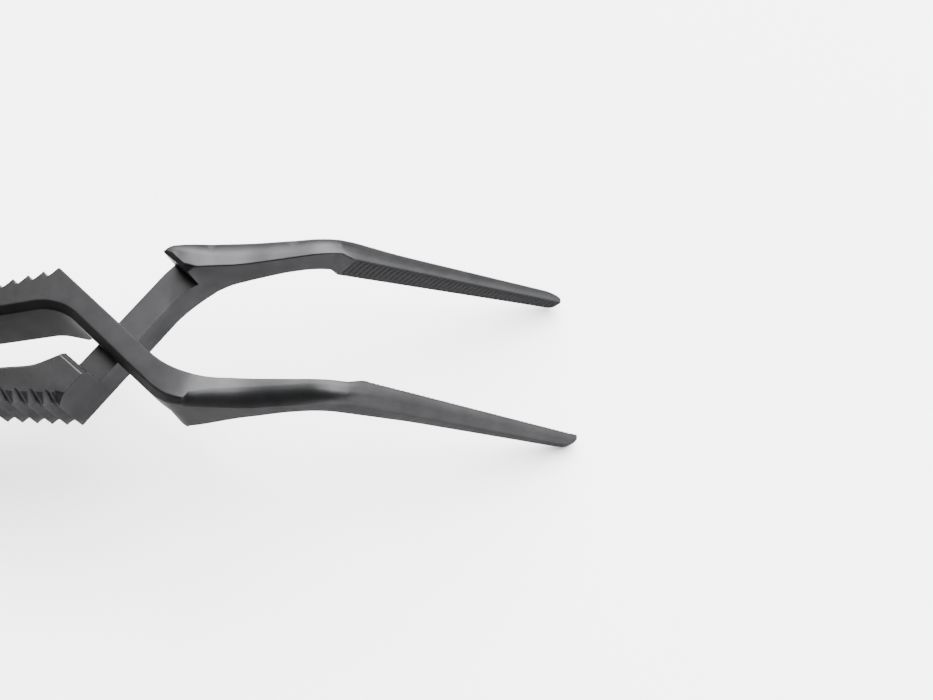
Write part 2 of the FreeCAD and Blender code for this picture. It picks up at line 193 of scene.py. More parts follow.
def rounded(corners, step=0.05):
    """Polyline through corners (a, b, radius), with an arc at every corner that has a radius."""
    points = [np.array(corners[0][:2], float)]
    for before, corner, after in zip(corners, corners[1:], corners[2:]):
        spot = np.array(corner[:2], float)
        back = np.array(before[:2]) - spot
        ahead = np.array(after[:2]) - spot
        back = back / np.linalg.norm(back)
        ahead = ahead / np.linalg.norm(ahead)
        half = math.acos(max(-1.0, min(1.0, float(back @ ahead)))) / 2
        if corner[2] == 0 or half > math.pi / 2 - NEARLY_STRAIGHT:
            points.append(spot)
            continue
        reach = corner[2] / math.tan(half)
        centre = spot + (back + ahead) / np.linalg.norm(back + ahead) * corner[2] / math.sin(half)
        start = spot + back * reach - centre
        stop = spot + ahead * reach - centre
        sweep = math.pi - 2 * half
        count = max(4, int(sweep * corner[2] / step))
        for share in np.linspace(0, 1, count + 1):
            mix = start * math.sin((1 - share) * sweep) + stop * math.sin(share * sweep)
            points.append(centre + mix / math.sin(sweep))
    points.append(np.array(corners[-1][:2], float))
    return np.array(points)


class Outline:
    """One side of an arm in plan, which can be walked by its own length."""

    def __init__(self, corners):
        self.points = rounded(corners)
        steps = np.linalg.norm(np.diff(self.points, axis=0), axis=1)
        self.length = np.concatenate([[0], np.cumsum(steps)])

    def at(self, distance):
        return np.array([np.interp(distance, self.length, self.points[:, axis]) for axis in (0, 1)])

    def meet(self, normal, value, last=False):
        """Distance along the outline at which it crosses the line normal . p = value."""
        side = self.points @ np.array(normal) - value
        hits = [i for i in range(len(side) - 1) if side[i] < 0 <= side[i + 1]]
        i = hits[-1] if last else hits[0]
        share = -side[i] / (side[i + 1] - side[i])
        return self.length[i] + share * (self.length[i + 1] - self.length[i])


def height_table(corners):
    """Stations and heights of a side outline, for np.interp."""
    points = rounded(corners)
    return points[:, 0], points[:, 1]


NEAR_TABLE = height_table(NEAR_SIDE)
FAR_TABLE = height_table(FAR_SIDE)


def near_z(x):
    """Height of the arm's near side."""
    return float(np.interp(x, *NEAR_TABLE))


def far_z(x):
    """Height of the arm's far side."""
    return float(np.interp(x, *FAR_TABLE))


def smooth(value, low, high):
    """0 below low, 1 above high, and a soft step between them."""
    share = max(0.0, min(1.0, (value - low) / (high - low)))
    return share * share * (3 - 2 * share)


# ---------------------------------------------------------------- cross-sections

CORNER_POINTS = 9
FLAT_POINTS = 3
EDGE_BREAK = 0.07
STRAIGHT = 0.5
LONGEST_FIT = 0.94


def corner_curve(across, deep, near_pull, wall_pull):
    """Corner of a section as (inset across, inset in depth) pairs from the flat to the wall.
    Pulls of a half give a straight chamfer, and pulls of nought a full round."""
    pull = (across * near_pull, deep * wall_pull)
    start = min(0.12, EDGE_BREAK / (math.hypot(across, deep) + 1e-6))
    bits = [(across + EDGE_BREAK, 0.0)]
    for t in np.linspace(start, 1 - start, CORNER_POINTS - 2):
        a, b, c = (1 - t) ** 2, 2 * t * (1 - t), t * t
        bits.append((a * across + b * pull[0], b * pull[1] + c * deep))
    bits.append((0.0, deep + EDGE_BREAK))
    return bits


def grooved_curve(groove):
    """The wide chamfer along the grip, with its part of a finger groove cut into it."""
    bits = []
    for t in np.linspace(0, 1, CORNER_POINTS - 1):
        cut = max(0.0, groove - GROOVE_FADE * t) / math.sqrt(2)
        bits.append((GRIP_CHAMFER * t + cut - groove, GRIP_CHAMFER * (1 - t) + cut))
    bits[0] = (0.0, GRIP_CHAMFER + GROOVE_WALL * groove)
    top = bits[-1][0] + bits[-1][1]
    bits[-1] = (top, 0.0)
    return [(top + EDGE_BREAK, 0.0)] + bits[::-1]


def ring(corners, curves):
    """Closed section from four corner points (near tooth side, far tooth side, far back side,
    near back side) and the curve of each corner."""
    tooth_near, tooth_far, back_far, back_near = [np.array(c, float) for c in corners]
    curves = [np.array(curve) for curve in curves]
    edges = [(0, 3, 0), (1, 2, 0), (0, 1, 1), (2, 3, 1)]
    for one, two, axis in edges:
        length = np.linalg.norm(np.array(corners[one]) - np.array(corners[two]))
        used = curves[one][:, axis].max() + curves[two][:, axis].max()
        fit = min(1.0, LONGEST_FIT * length / used)
        curves[one][:, axis] *= fit
        curves[two][:, axis] *= fit

    def place(spot, inward, depth, curve):
        inward = (inward - spot) / np.linalg.norm(inward - spot)
        depth = (depth - spot) / np.linalg.norm(depth - spot)
        return [spot + inward * a + depth * b for a, b in curve]

    sides = [
        place(tooth_near, back_near, tooth_far, curves[0]),
        place(tooth_far, back_far, tooth_near, curves[1])[::-1],
        place(back_far, tooth_far, back_near, curves[2]),
        place(back_near, tooth_near, back_far, curves[3])[::-1],
    ]
    points = []
    for number, side in enumerate(sides):
        points += side
        following = sides[(number + 1) % 4][0]
        for share in range(1, FLAT_POINTS + 1):
            points.append(side[-1] + (following - side[-1]) * share / (FLAT_POINTS + 1))
    return points


# ---------------------------------------------------------------- an arm

# corners of the sections, each as far across as deep unless two sizes are given
TINY = corner_curve(0.07, 0.07, STRAIGHT, STRAIGHT)
FINE = corner_curve(0.16, 0.16, 0.2, 0.2)
LIP = corner_curve(0.22, 0.2, STRAIGHT, STRAIGHT)
EDGE = corner_curve(EDGE_CHAMFER, EDGE_CHAMFER, STRAIGHT, STRAIGHT)

# the soft rounding of the neck and jaw: stations, then its size across and in depth at each
SOFT_ACROSS_AT = (SEAM_X, 13.5, 17, 24, 30)
SOFT_ACROSS = (1.15, 1.5, 1.75, 1.65, 1.5)
SOFT_DEPTH_AT = (SEAM_X, 14, 18, 24, 30)
SOFT_DEPTH = {"far": (0.75, 0.95, 1.05, 1.1, 1.3), "near": (0.4, 0.95, 1.05, 1.1, 1.3)}
JAW_ROUNDING = (21, 28)


class Arm:
    """Shape of one arm.  lapped is "far" for the front arm and "near" for the rear arm."""

    def __init__(self, lapped):
        self.lapped = lapped
        self.heel = HEELS[lapped]
        tooth_start = TANG_TOP + [(*self.heel, HEEL_RADIUS)]
        full_tooth = Outline(tooth_start + [(*FOOT, FULL_FOOT_RADIUS)] + NECK_LINE)
        lapped_tooth = Outline(tooth_start + [(*FOOT, LAPPED_FOOT_RADIUS)] + NECK_LINE)
        full = (full_tooth, Outline(FULL_BACK_SIDE))
        cut = (lapped_tooth, Outline(LAPPED_BACK_SIDE))
        self.near_tooth, self.near_back = full if lapped == "far" else cut
        self.far_tooth, self.far_back = cut if lapped == "far" else full
        self.valley = GROOVE_VALLEY[lapped]
        self.heel_length = self.near_tooth.meet((1, 0), self.heel[0] - 0.02)
        self.tip_x = TIP_X[lapped]
        self.rings = []

    def groove(self, distance):
        """Depth of the finger grooves at a distance along the tooth side."""
        back = (self.heel_length - distance) / GROOVE_PITCH
        if not 0 <= back <= GROOVE_COUNT:
            return 0.0
        share = 1 - (back - math.floor(back))
        if share < self.valley:
            gap = (self.valley - share) / self.valley
        else:
            gap = (share - self.valley) / (1 - self.valley)
        return GROOVE_DEPTH[self.lapped] * (1 - min(1.0, gap) ** GROOVE_POWER)

    def toothed_curve(self, x, tooth_point, distance, groove):
        """Corner of the lapped tooth side: the grip's grooved chamfer, which runs out past the heel."""
        if x <= TANG_STEP_X or distance >= self.heel_length + HEEL_RUN_OUT:
            return TINY
        if distance <= self.heel_length:
            return grooved_curve(groove)
        normal = np.array((-math.sin(GRIP_ANGLE), math.cos(GRIP_ANGLE)))
        below = max(0.0, float((np.array(self.heel) - tooth_point) @ normal))
        if below >= GRIP_CHAMFER - 0.1:
            return TINY
        return corner_curve((GRIP_CHAMFER - below) * 1.2, GRIP_CHAMFER - below, STRAIGHT, STRAIGHT)

    def soft_curve(self, x, thickness, width):
        """Soft rounding of the outside of the neck and jaw."""
        across = np.interp(x, SOFT_ACROSS_AT, SOFT_ACROSS)
        across = max(0.08, min(across, thickness * 0.95 - 0.4))
        deep = min(np.interp(x, SOFT_DEPTH_AT, SOFT_DEPTH[self.lapped]), width * 0.42)
        return corner_curve(across, deep, 0.42 * (1 - smooth(x, *JAW_ROUNDING)), 0.04)

    def curves(self, x, back_x, tooth_point, distance, groove, thickness, width):
        """Corner curves of the section at a place along the arm."""
        body = smooth(x, SEAM_X - SEAM_BLUR, SEAM_X + SEAM_BLUR)
        begun = smooth(x, TANG_STEP_X + 0.05, TANG_STEP_X + 0.6)
        edge = self.mix(TINY, EDGE, begun)
        toothed = self.mix(TINY, self.toothed_curve(x, tooth_point, distance, groove), begun)
        soft = self.soft_curve(x, thickness, width)
        under = corner_curve(min(0.55, thickness * 0.3), min(0.5, width * 0.3), 0.1, 0.1)
        if self.lapped == "far":
            turned = smooth(back_x, SEAM_X - SEAM_BLUR, SEAM_X + SEAM_BLUR)
            return [
                self.mix(TINY, FINE, body), self.mix(toothed, FINE, body),
                self.mix(TINY, under, body), self.mix(edge, soft, turned),
            ]
        footed = 0.0
        if distance > self.heel_length:
            footed = smooth(tooth_point[0], FOOT[0] - 0.8, FOOT[0] - 0.3)
        flare = 1 - smooth(tooth_point[0], FLARE_START, FLARE_END)
        pull = 0.2 + 0.3 * flare
        facet = corner_curve(0.16 + 0.8 * flare, 0.16 + 0.5 * flare, pull, pull)
        return [
            self.mix(toothed, facet, footed), self.mix(TINY, FINE, body),
            self.mix(edge, under, body), self.mix(LIP, soft, smooth(back_x, *REAR_TURN)),
        ]

    @staticmethod
    def mix(first, second, share):
        """Curve a share of the way from the first to the second."""
        return [tuple(np.array(a) * (1 - share) + np.array(b) * share) for a, b in zip(first, second)]

    def add_plan_ring(self, tooth_at, far_tooth_at, near_back_at, far_back_at):
        """Section between a point of each outline, each given by the distance along it."""
        tooth = self.near_tooth.at(tooth_at)
        near_back = self.near_back.at(near_back_at)
        far_back = self.far_back.at(far_back_at)
        groove = self.groove(tooth_at)
        inward = (near_back - tooth) / np.linalg.norm(near_back - tooth)
        sunk = tooth + inward * groove
        far_sunk = self.far_tooth.at(far_tooth_at) + inward * groove
        corners = [
            (*sunk, near_z(sunk[0])), (*far_sunk, far_z(far_sunk[0])),
            (*far_back, far_z(far_back[0])), (*near_back, near_z(near_back[0])),
        ]
        thickness = float(np.linalg.norm(near_back - tooth))
        width = near_z(tooth[0]) - far_z(tooth[0])
        middle = (sunk[0] + near_back[0]) / 2
        station = tooth[0] if tooth_at < self.heel_length else middle
        curves = self.curves(station, near_back[0], tooth, tooth_at, groove, thickness, width)
        self.rings.append(ring(corners, curves))

    def add_jaw_ring(self, near_x, far_x, share, tooth_cut):
        """Section of the neck or jaw, which leans as the jaw turns down.
        share says how far the section has come from the relieved neck to the gripping face."""
        def inner(outline, x):
            relieved = -outline.at(outline.meet((1, 0), min(x, RELIEF_END_X), last=True))[1]
            face = JAW_FACE_Y + (x - JAW_FACE_X) * JAW_FACE_SLOPE
            return -(relieved * (1 - share) + face * share)

        def outer(outline, x):
            return outline.at(outline.meet((1, 0), x, last=True))[1]

        corners = [
            (near_x, inner(self.near_tooth, near_x), near_z(near_x)),
            (far_x, inner(self.far_tooth, far_x), far_z(far_x)),
            (far_x, outer(self.far_back, far_x), far_z(far_x)),
            (near_x, outer(self.near_back, near_x), near_z(near_x)),
        ]
        corners = self.taper(corners, near_x)
        thickness = float(np.linalg.norm(np.array(corners[0]) - corners[3]))
        width = float(np.linalg.norm(np.array(corners[0]) - corners[1]))
        past_heel = self.near_tooth.length[-1]
        curves = self.curves(near_x, near_x, corners[0][:2], past_heel, 0, thickness, width)
        points = ring(corners, curves)
        first_flat = CORNER_POINTS
        last_flat = CORNER_POINTS + FLAT_POINTS - 1
        for number in range(2 * CORNER_POINTS + FLAT_POINTS):
            off_flat = max(first_flat - number, number - last_flat, 0)
            notch = NEAR_NOTCH if number < first_flat else FAR_NOTCH
            reach = 1.0 if off_flat == 0 else notch * (1 - off_flat / CORNER_POINTS)
            points[number] = points[number] - np.array((0, tooth_cut * reach, 0))
        self.rings.append(points)

    def taper(self, corners, near_x):
        """Round the end of the jaw back from its gripping edge."""
        left = (self.tip_x - near_x) / math.cos(JAW_DROP)

        def kept(length, least):
            run = max(0.0, 1 - left / length)
            return least + (1 - least) * math.sqrt(max(0.0, 1 - run * run))

        near_tooth, far_tooth, far_back, near_back = [np.array(c, float) for c in corners]
        near_back = near_tooth + (near_back - near_tooth) * kept(*NEAR_BACK_TIP)
        far_back = far_tooth + (far_back - far_tooth) * kept(*FAR_BACK_TIP)
        narrow = kept(*NARROW_TIP)
        far_tooth = near_tooth + (far_tooth - near_tooth) * narrow
        far_back = near_back + (far_back - near_back) * narrow
        return [near_tooth, far_tooth, far_back, near_back]

    def build_rings(self):
        """Sections from the tang to the neck, then those of the neck and jaw."""
        leg = (math.cos(LEG_ANGLE), -math.sin(LEG_ANGLE))
        groove_start = self.heel_length - GROOVE_PITCH * GROOVE_COUNT
        first_x = self.near_tooth.at(groove_start)[0]
        step = self.near_back.meet((1, 0), TANG_STEP_X - 0.001)
        past_step = step + TANG_LINE[1][1] - TANG_LINE[2][1] + 0.002
        lap_low = LAP_START - LAP_RING_GAP
        lap_high = LAP_END + LAP_RING_GAP

        def across(x, last=False):
            """Place on an outline where it crosses a station."""
            return lambda outline: outline.meet((1, 0), x, last)

        def lap(value, last=False):
            """Place on an outline where it crosses an end of the half-lap."""
            return lambda outline: outline.meet(leg, value, last)

        def fixed(distance):
            """The same place on every outline."""
            return lambda outline: distance

        # stations: place on a tooth outline, place on a back outline, sections up to the next
        keys = [
            (fixed(0.0), fixed(0.0), 8),
            (across(TANG_STEP_X - 0.01), fixed(step), 1),
            (across(TANG_STEP_X + 0.01), fixed(past_step), 5),
            (fixed(groove_start), across(first_x), GROOVE_COUNT * 12),
            (fixed(self.heel_length), across(self.heel[0] - 0.4), 26),
            (lap(lap_low), lap(lap_low), 46),
            (lap(lap_high, True), lap(lap_high, True), 24),
            (across(NECK_X, True), across(NECK_X, True), 0),
        ]

        def between(outline, here, there, share):
            return here(outline) + (there(outline) - here(outline)) * share

        for (tooth, back, count), (next_tooth, next_back, _) in zip(keys, keys[1:]):
            for share in np.arange(count) / count:
                self.add_plan_ring(
                    between(self.near_tooth, tooth, next_tooth, share),
                    between(self.far_tooth, tooth, next_tooth, share),
                    between(self.near_back, back, next_back, share),
                    between(self.far_back, back, next_back, share),
                )
        self.build_jaw_rings()

    def build_jaw_rings(self):
        """Sections from the neck to the tip, placed by how far they are along the neck and jaw."""
        shift = HEEL_SHIFT[self.lapped]
        ramp = RAMP_LENGTH[self.lapped]
        run = shift * math.cos(JAW_DROP)
        near_keys = [near for _, near, _ in NECK_SECTIONS] + [JAW_HEEL_X[0] + run, self.tip_x]
        far_keys = [far for _, _, far in NECK_SECTIONS] + [JAW_HEEL_X[1] + run, self.tip_x - TIP_LEAN]
        heel = JAW_HEEL_RUN + shift
        end = heel + (self.tip_x - near_keys[-2]) / math.cos(JAW_DROP)
        positions = [along for along, _, _ in NECK_SECTIONS] + [heel, end]
        last_tooth = end - TOOTHLESS_TIP
        marks = list(np.linspace(0, heel - ramp, 30, endpoint=False))
        marks += list(np.linspace(heel - ramp, heel, 8, endpoint=False))
        marks += list(np.arange(heel, last_tooth, TOOTH_PITCH / len(TOOTH_PROFILE)))
        marks += [end - left for left in TIP_RINGS]
        for mark in marks:
            cut = 0.0
            if heel - 1e-6 <= mark < last_tooth:
                number = round((mark - heel) * len(TOOTH_PROFILE) / TOOTH_PITCH)
                fresh = 1 + FRESH_TEETH * math.exp(-(mark - heel) / FRESH_RUN)
                cut = TOOTH_PROFILE[number % len(TOOTH_PROFILE)] * TOOTH_DEPTH * fresh
            near_x = float(np.interp(mark, positions, near_keys))
            far_x = float(np.interp(mark, positions, far_keys))
            self.add_jaw_ring(near_x, far_x, smooth(mark, heel - ramp, heel), cut)

    def mesh(self, name):
        """Closed mesh through all the sections."""
        self.build_rings()
        side = 1 if self.lapped == "far" else -1
        build = bmesh.new()
        loops = []
        for points in self.rings:
            loops.append([build.verts.new((p[0], side * p[1], p[2])) for p in points])
        count = len(loops[0])
        for one, two in zip(loops, loops[1:]):
            for i in range(count):
                build.faces.new((one[i], one[(i + 1) % count], two[(i + 1) % count], two[i]))
        for loop in (loops[0], loops[-1]):
            centre = build.verts.new(sum((v.co for v in loop), Vector()) / count)
            for i in range(count):
                build.faces.new((loop[i], loop[(i + 1) % count], centre))
        bmesh.ops.remove_doubles(build, verts=build.verts, dist=SAME_POINT)
        bmesh.ops.recalc_face_normals(build, faces=build.faces)
        return new_piece(name, build)


# ---------------------------------------------------------------- building pieces

SHARP_ANGLE = math.radians(32)
LARGEST_SMOOTH_FACE = 8
SAME_POINT = 0.002


def new_piece(name, build):
    """Object made of a bmesh, which is freed."""
    mesh = bpy.data.meshes.new(name)
    build.to_mesh(mesh)
    build.free()
    piece = bpy.data.objects.new(name, mesh)
    bpy.context.scene.collection.objects.link(piece)
    return piece


def settle(piece):
    """Apply the piece's modifiers."""
    graph = bpy.context.evaluated_depsgraph_get()
    mesh = bpy.data.meshes.new_from_object(piece.evaluated_get(graph))
    piece.modifiers.clear()
    piece.data = mesh


def shade(piece):
    """Smooth shading with crisp edges past an angle, and flats that stay flat.
    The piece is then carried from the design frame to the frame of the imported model."""
    for face in piece.data.polygons:
        face.use_smooth = True
    piece.data.set_sharp_from_angle(angle=SHARP_ANGLE)
    large = [face for face in piece.data.polygons if face.loop_total > LARGEST_SMOOTH_FACE]
    cut_edges = {key for face in large for key in face.edge_keys}
    for line in piece.data.edges:
        line.use_edge_sharp = line.use_edge_sharp or line.key in cut_edges
    weigh = piece.modifiers.new("flats", "WEIGHTED_NORMAL")
    weigh.keep_sharp = True
    weigh.weight = 60
    settle(piece)
    piece.data.transform(SEAT)


def cut_lap(piece, lapped):
    """Cut the half-lap recess across the leg, with a bevel along both of its shoulders."""
    level = LAP_LEVEL if lapped == "far" else -LAP_LEVEL
    up = -1 if lapped == "far" else 1
    side = 1 if lapped == "far" else -1
    # wall, bevel and way out of a shoulder: distance out from the recess, and height
    rise = [
        (0.0, HALF_WIDTH - LAP_CHAMFER - 0.06),
        (0.04, HALF_WIDTH - LAP_CHAMFER + 0.03),
        (LAP_CHAMFER - 0.05, HALF_WIDTH - 0.05),
        (LAP_CHAMFER + 0.1, HALF_WIDTH + 0.02),
        (LAP_CHAMFER + 2.0, HALF_WIDTH + 0.4),
        (LAP_CHAMFER + 2.0, HALF_WIDTH + 2.0),
    ]
    profile = [(LAP_START, level)]
    profile += [(LAP_START - out, up * z) for out, z in rise]
    profile += [(LAP_END + out, up * z) for out, z in reversed(rise)]
    profile += [(LAP_END, level)]
    build = bmesh.new()
    loops = []
    for v in (-LAP_REACH, LAP_REACH):
        loop = []
        for u, z in profile:
            x = u * math.cos(LEG_ANGLE) + v * math.sin(LEG_ANGLE)
            y = -u * math.sin(LEG_ANGLE) + v * math.cos(LEG_ANGLE)
            loop.append(build.verts.new((x, side * y, z)))
        loops.append(loop)
    count = len(profile)
    for i in range(count):
        j = (i + 1) % count
        build.faces.new((loops[0][i], loops[0][j], loops[1][j], loops[1][i]))
    build.faces.new(loops[0])
    build.faces.new(loops[1][::-1])
    bmesh.ops.recalc_face_normals(build, faces=build.faces)
    cutter = new_piece("lap_cutter", build)
    cut = piece.modifiers.new("lap", "BOOLEAN")
    cut.operation = "DIFFERENCE"
    cut.solver = "EXACT"
    cut.object = cutter
    settle(piece)
    bpy.data.objects.remove(cutter)


def strip_piece(name, start_x, end_x, low_y, high_y, half_width, corner, bevel, steps):
    """Flat strip along X with rounded tail corners and bevelled edges, as rings of points."""
    thickness = high_y - low_y
    build = bmesh.new()
    marks = [start_x + corner * (1 - math.cos(t)) for t in np.linspace(0.0, math.pi / 2, 14)]
    marks += list(np.linspace(start_x + corner, end_x - bevel, steps)[1:])
    marks += [end_x - bevel * (1 - math.sin(t)) for t in np.linspace(0.0, math.pi / 2, 5)[1:]]
    loops = []
    for x in marks:
        half = half_width
        left = x - start_x
        if left < corner:
            half = half_width - corner + math.sqrt(max(0.0, corner ** 2 - (corner - left) ** 2))
        ahead = max(0.0, bevel - (end_x - x))
        behind = max(0.0, bevel - left)
        trim = bevel - math.sqrt(max(0.0, bevel ** 2 - max(ahead, behind) ** 2))
        loop = []
        for sy, sz in ((1, 1), (1, -1), (-1, -1), (-1, 1)):
            turns = np.linspace(0, math.pi / 2, 5)
            for t in turns if sy * sz > 0 else turns[::-1]:
                y = (low_y + high_y) / 2 + sy * (thickness / 2 - trim - bevel * (1 - math.cos(t)))
                z = sz * (half - trim - bevel * (1 - math.sin(t)))
                loop.append(build.verts.new((x, y, z)))
        loops.append(loop)
    count = len(loops[0])
    for one, two in zip(loops, loops[1:]):
        for i in range(count):
            build.faces.new((one[i], one[(i + 1) % count], two[(i + 1) % count], two[i]))
    build.faces.new(loops[0])
    build.faces.new(loops[-1])
    bmesh.ops.recalc_face_normals(build, faces=build.faces)
    piece = new_piece(name, build)
    shade(piece)
    return piece


def rivet_row(name, first_x, pitch, low_y, high_y):
    """Two rivets along Y, each a shank with a domed head at both ends."""
    radius = RIVET_RADIUS
    head = RIVET_HEAD_RADIUS
    height = RIVET_HEAD_HEIGHT
    dome = [(head * math.cos(t), height * (0.25 + 0.75 * math.sin(t))) for t in np.linspace(0.15, 1.45, 7)]
    profile = [(0.0, high_y + height)] + [(r, high_y + h) for r, h in dome[::-1]]
    profile += [(head, high_y + 0.05), (head - 0.04, high_y), (radius, high_y), (radius, low_y)]
    profile += [(head - 0.04, low_y), (head, low_y - 0.05)] + [(r, low_y - h) for r, h in dome]
    profile += [(0.0, low_y - height)]
    build = bmesh.new()
    around = RIVET_SIDES
    for number in range(2):
        x = first_x + number * pitch
        loops = []
        for r, y in profile:
            if r == 0.0:
                loops.append([build.verts.new((x, y, 0))])
                continue
            turns = [2 * math.pi * k / around for k in range(around)]
            loops.append([build.verts.new((x + r * math.cos(t), y, r * math.sin(t))) for t in turns])
        for one, two in zip(loops, loops[1:]):
            for k in range(around):
                j = (k + 1) % around
                corners = (one[k % len(one)], one[j % len(one)], two[j % len(two)], two[k % len(two)])
                build.faces.new(tuple(dict.fromkeys(corners)))
    bmesh.ops.recalc_face_normals(build, faces=build.faces)
    piece = new_piece(name, build)
    shade(piece)
    return piece


# ---------------------------------------------------------------- materials

EDGE_TINT = 0.44
# painted shade: the jaws' gripping faces take this share of the colour, standing in for the shade in the
# teeth
TEETH_PAINTED_SHADE = 0.68
BROAD_BLOTCHES = 420.0
DARKEST = 0.86
LIGHTEST = 1.12
WORN = 1.5
BUMP_HEIGHT = 0.00004

# painted shade in the jaws' teeth: its mask fades in past the jaw's heel, and where a face looks towards the
# other jaw
MASK_ALONG = (-0.1, 0.2)
MASK_FACING = (-2.5, -4.5)


def teeth_painted_shade_mask(nodes, links, place):
    """1 on the cross-cut gripping faces of the jaws, where the shade that falls in the teeth is painted in as
    a darker colour, else 0.
    """
    axis = turn((math.cos(JAW_DROP), 0, -math.sin(JAW_DROP)))
    heel = seat((JAW_HEEL_X[0], 0, near_z(JAW_HEEL_X[0]))).dot(axis)
    along = nodes.new("ShaderNodeVectorMath")
    along.operation = "DOT_PRODUCT"
    along.inputs[1].default_value = axis
    links.new(place.outputs["Object"], along.inputs[0])
    past_heel = nodes.new("ShaderNodeMapRange")
    past_heel.inputs["From Min"].default_value = heel + MASK_ALONG[0] * MM
    past_heel.inputs["From Max"].default_value = heel + MASK_ALONG[1] * MM
    links.new(along.outputs["Value"], past_heel.inputs["Value"])
    # y times the normal's y is most negative where a jaw faces the other jaw
    geometry = nodes.new("ShaderNodeNewGeometry")
    facing = nodes.new("ShaderNodeVectorMath")
    facing.operation = "MULTIPLY"
    links.new(geometry.outputs["Normal"], facing.inputs[0])
    links.new(place.outputs["Object"], facing.inputs[1])
    parts = nodes.new("ShaderNodeSeparateXYZ")
    links.new(facing.outputs["Vector"], parts.inputs[0])
    inward = nodes.new("ShaderNodeMapRange")
    inward.inputs["From Min"].default_value = MASK_FACING[0] * MM
    inward.inputs["From Max"].default_value = MASK_FACING[1] * MM
    links.new(parts.outputs["Y"], inward.inputs["Value"])
    both = nodes.new("ShaderNodeMath")
    both.operation = "MULTIPLY"
    links.new(past_heel.outputs["Result"], both.inputs[0])
    links.new(inward.outputs["Result"], both.inputs[1])
    return both.outputs["Value"]


def coated_steel(name, colour, roughness, grain, blasted):
    """Dark coated steel: a fine blasted texture, faint blotches, edges worn a little lighter, and painted
    shade on the jaws' teeth.
    """
    material = bpy.data.materials.new(name)
    material.use_nodes = True
    nodes = material.node_tree.nodes
    links = material.node_tree.links
    shader = nodes["Principled BSDF"]
    shader.inputs["Metallic"].default_value = 1.0
    shader.inputs["Specular Tint"].default_value = (EDGE_TINT, EDGE_TINT, EDGE_TINT, 1)
    place = nodes.new("ShaderNodeTexCoord")

    fine = nodes.new("ShaderNodeTexNoise")
    fine.inputs["Scale"].default_value = grain
    fine.inputs["Detail"].default_value = 3.0
    links.new(place.outputs["Object"], fine.inputs["Vector"])
    broad = nodes.new("ShaderNodeTexNoise")
    broad.inputs["Scale"].default_value = BROAD_BLOTCHES
    broad.inputs["Detail"].default_value = 4.0
    links.new(place.outputs["Object"], broad.inputs["Vector"])

    wear = nodes.new("ShaderNodeNewGeometry")
    edge = nodes.new("ShaderNodeValToRGB")
    edge.color_ramp.elements[0].position = 0.52
    edge.color_ramp.elements[0].color = (0, 0, 0, 1)
    edge.color_ramp.elements[1].position = 0.62
    edge.color_ramp.elements[1].color = (1, 1, 1, 1)
    links.new(wear.outputs["Pointiness"], edge.inputs["Fac"])

    tone = nodes.new("ShaderNodeValToRGB")
    tone.color_ramp.elements[0].position = 0.3
    tone.color_ramp.elements[0].color = (*[c * DARKEST for c in colour], 1)
    tone.color_ramp.elements[1].position = 0.7
    tone.color_ramp.elements[1].color = (*[c * LIGHTEST for c in colour], 1)
    links.new(broad.outputs["Fac"], tone.inputs["Fac"])
    worn = nodes.new("ShaderNodeMix")
    worn.data_type = "RGBA"
    worn.inputs["B"].default_value = (*[min(1.0, c * WORN) for c in colour], 1)
    links.new(edge.outputs["Color"], worn.inputs["Factor"])
    links.new(tone.outputs["Color"], worn.inputs["A"])
    # painted shade: the gripping faces of the jaws are darkened for the shade that falls in their teeth
    teeth_painted_shade = nodes.new("ShaderNodeMix")
    teeth_painted_shade.data_type = "RGBA"
    teeth_painted_shade.inputs["B"].default_value = (*[c * TEETH_PAINTED_SHADE for c in colour], 1)
    links.new(teeth_painted_shade_mask(nodes, links, place), teeth_painted_shade.inputs["Factor"])
    links.new(worn.outputs["Result"], teeth_painted_shade.inputs["A"])
    links.new(teeth_painted_shade.outputs["Result"], shader.inputs["Base Color"])

    rough = nodes.new("ShaderNodeMapRange")
    rough.inputs["To Min"].default_value = roughness - 0.05
    rough.inputs["To Max"].default_value = roughness + 0.06
    links.new(fine.outputs["Fac"], rough.inputs["Value"])
    links.new(rough.outputs["Result"], shader.inputs["Roughness"])

    bump = nodes.new("ShaderNodeBump")
    bump.inputs["Strength"].default_value = blasted
    bump.inputs["Distance"].default_value = BUMP_HEIGHT
    links.new(fine.outputs["Fac"], bump.inputs["Height"])
    links.new(bump.outputs["Normal"], shader.inputs["Normal"])
    return material


ARM_STEEL = coated_steel("arm_coating", (0.030, 0.030, 0.031), 0.39, 12000.0, 0.2)
SPRING_STEEL = coated_steel("spring_coating", (0.028, 0.028, 0.029), 0.33, 8000.0, 0.12)
TAIL_STEEL = coated_steel("tail_coating", (0.030, 0.030, 0.031), 0.38, 12000.0, 0.2)
RIVET_STEEL = coated_steel("rivet_coating", (0.038, 0.038, 0.039), 0.28, 6000.0, 0.08)


def finish_piece(piece, material, slot, *nodes):
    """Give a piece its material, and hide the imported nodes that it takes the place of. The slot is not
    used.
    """
    piece.data.materials.clear()
    piece.data.materials.append(material)
    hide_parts(*nodes)
    return piece


# ---------------------------------------------------------------- the tweezers

for name, lapped, body in (("front_arm", "far", "front_side"), ("rear_arm", "near", "rear_side")):
    arm = Arm(lapped).mesh(name + "_forged")
    cut_lap(arm, lapped)
    shade(arm)
    finish_piece(arm, ARM_STEEL, "arm_steel", name)
    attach(arm, body)

for name, side, body in (("front", 1, "front_side"), ("rear", -1, "rear_side")):
    low, high = sorted((side * LEAF_INNER_Y, side * LEAF_OUTER_Y))
    leaf = strip_piece(
        name + "_leaf_strip", TAIL_X, LEAF_END_X, low, high, LEAF_HALF_WIDTH, TAIL_CORNER, LEAF_BEVEL, 90
    )
    finish_piece(leaf, SPRING_STEEL, "spring_steel", name + "_leaf_spring")
    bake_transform(leaf)
    low, high = sorted((side * LEAF_INNER_Y, side * TANG_OUTER_Y))
    rivets = rivet_row(name + "_arm_rivet_pair", ARM_RIVET_X, ARM_RIVET_PITCH, low, high)
    finish_piece(rivets, RIVET_STEEL, "rivet_steel", name + "_arm_rivets")
    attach(rivets, body)

